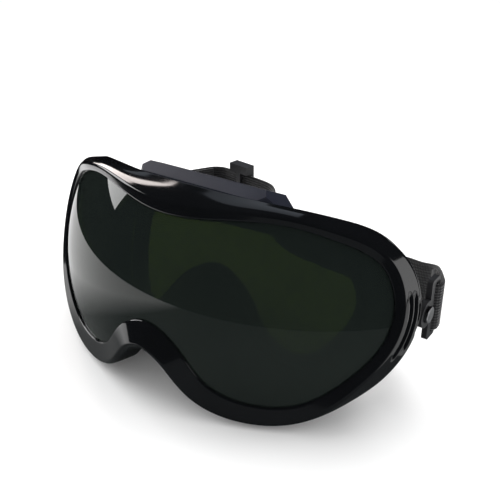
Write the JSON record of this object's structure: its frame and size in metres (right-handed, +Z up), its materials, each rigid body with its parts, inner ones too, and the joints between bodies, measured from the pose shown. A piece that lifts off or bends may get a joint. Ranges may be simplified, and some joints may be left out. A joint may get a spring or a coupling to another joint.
{
  "type": "welding goggles",
  "caption": "Wraparound welding goggles with a dark green tinted lens in a glossy black bezel, vented soft body, foam face seal and a swivelling elastic headband.",
  "frame": {"origin": "centre of the bounding box at the table surface that the goggles rest on, leaned back on the lower lobes of the bezel and the bottom of the face seal", "axes": "+X towards the wearer's left, lens facing -Y, +Z up from the table"},
  "size_m": [0.1816, 0.1266, 0.0853],
  "materials": {
    "lens_tint": "glossy dark green welding shade, slightly see-through",
    "bezel_gloss": "high-gloss black moulding",
    "gasket_rubber": "matt black rubber",
    "body_soft": "satin black flexible moulding",
    "face_foam": "black open-cell foam",
    "vent_plastic": "satin black moulding with a faint blue cast",
    "vent_foam": "dark grey reticulated foam",
    "mount_plastic": "satin black moulding",
    "pin_steel": "blackened steel rivet",
    "washer_plastic": "grey nylon",
    "clip_plastic": "semi-gloss black moulding",
    "band_elastic": "black woven elastic",
    "band_thread": "black sewing thread",
    "slider_plastic": "satin black moulding"
  },
  "bodies": {
    "goggles": {"lens": "lens_tint", "front_bezel": "bezel_gloss", "lens_gasket": "gasket_rubber", "goggle_body": "body_soft", "face_foam": "face_foam", "top_vent_cover": "vent_plastic", "top_vent_filter": "vent_foam", "lower_vent_cover_left": "vent_plastic", "lower_vent_cover_right": "vent_plastic", "lower_vent_filter_left": "vent_foam", "lower_vent_filter_right": "vent_foam", "side_mount_left": "mount_plastic", "side_mount_right": "mount_plastic", "clip_pins": "pin_steel", "clip_washers": "washer_plastic"},
    "headband": {"strap_clip_left": "clip_plastic", "strap_clip_right": "clip_plastic", "headband": "band_elastic", "headband_stitching": "band_thread"},
    "slider": {"strap_slider": "slider_plastic"}
  },
  "joints": [
    {"name": "headband_swivel", "type": "hinge", "parent": "goggles", "child": "headband", "pos_m": [0, 0.00124, 0.0417], "axis": [1, 0, 0], "range_deg": [-50, 28]},
    {"name": "slider_travel", "type": "slide", "parent": "headband", "child": "slider", "axis": [0.9878, -0.156, 0], "range_m": [-0.0035, 0.01]}
  ]
}
